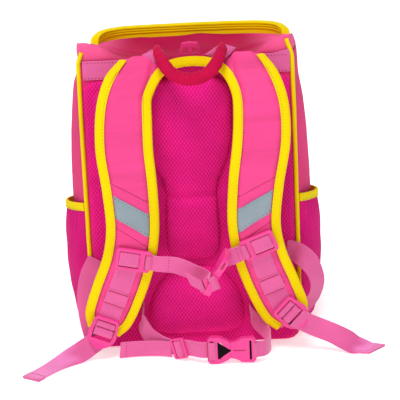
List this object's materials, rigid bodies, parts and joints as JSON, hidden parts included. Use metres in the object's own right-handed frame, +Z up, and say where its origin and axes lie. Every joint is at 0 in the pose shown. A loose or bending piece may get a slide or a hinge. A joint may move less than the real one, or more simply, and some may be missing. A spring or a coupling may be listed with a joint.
{
  "type": "ergonomic backpack",
  "caption": "Child's ergonomic school backpack with a padded mesh back, bound shoulder straps, fastened chest and hip straps, side pockets, a grab handle and a zipped lid.",
  "frame": {"origin": "middle of the flat base that the bag stands on", "axes": "+Z up, -Y out of the padded back towards the wearer, +X to the right seen from the wearer's side"},
  "size_m": [0.431, 0.2864, 0.3733],
  "materials": {
    "nylon": "pink coated nylon weave",
    "side_nylon": "deeper pink coated nylon weave",
    "mesh": "magenta spacer mesh",
    "yellow_tape": "bright yellow woven tape",
    "webbing": "light pink woven webbing",
    "handle_cloth": "crimson nylon cloth",
    "reflective_tape": "grey reflective tape",
    "plastic": "satin pink moulded plastic"
  },
  "bodies": {
    "root": {"bag_shell": "side_nylon", "zip_band": "yellow_tape", "lid": "nylon", "back_panel": "mesh", "spine_pad": "mesh", "lumbar_pad": "mesh", "side_pad_right": "mesh", "side_pad_left": "mesh", "upper_pad_right": "mesh", "upper_pad_left": "mesh", "top_tape": "webbing", "piping_left": "yellow_tape", "piping_right": "yellow_tape", "side_pocket_left": "mesh", "pocket_binding_left": "yellow_tape", "side_pocket_right": "mesh", "pocket_binding_right": "yellow_tape", "neck_binding": "yellow_tape", "shoulder_strap_left": "nylon", "strap_binding_left": "yellow_tape", "reflector_left": "reflective_tape", "strap_webbing_left": "webbing", "shoulder_strap_right": "nylon", "strap_binding_right": "yellow_tape", "reflector_right": "reflective_tape", "strap_webbing_right": "webbing", "handle_grip": "handle_cloth", "handle_end_left": "webbing", "handle_end_right": "webbing", "hang_loop": "handle_cloth", "ladder_lock_left": "plastic", "ladder_lock_right": "plastic", "chest_slider_left": "plastic", "chest_slider_right": "plastic", "chest_buckle_plug": "plastic", "chest_buckle_socket": "plastic", "chest_webbing_left": "webbing", "chest_webbing_right": "webbing", "hip_buckle_plug": "plastic", "hip_buckle_socket": "plastic", "hip_slider": "plastic", "hip_webbing_left": "webbing", "hip_tail": "webbing", "hip_webbing_right": "webbing", "lower_webbing_left": "webbing", "strap_tail_left": "webbing", "lower_webbing_right": "webbing", "strap_tail_right": "webbing"}
  },
  "joints": []
}
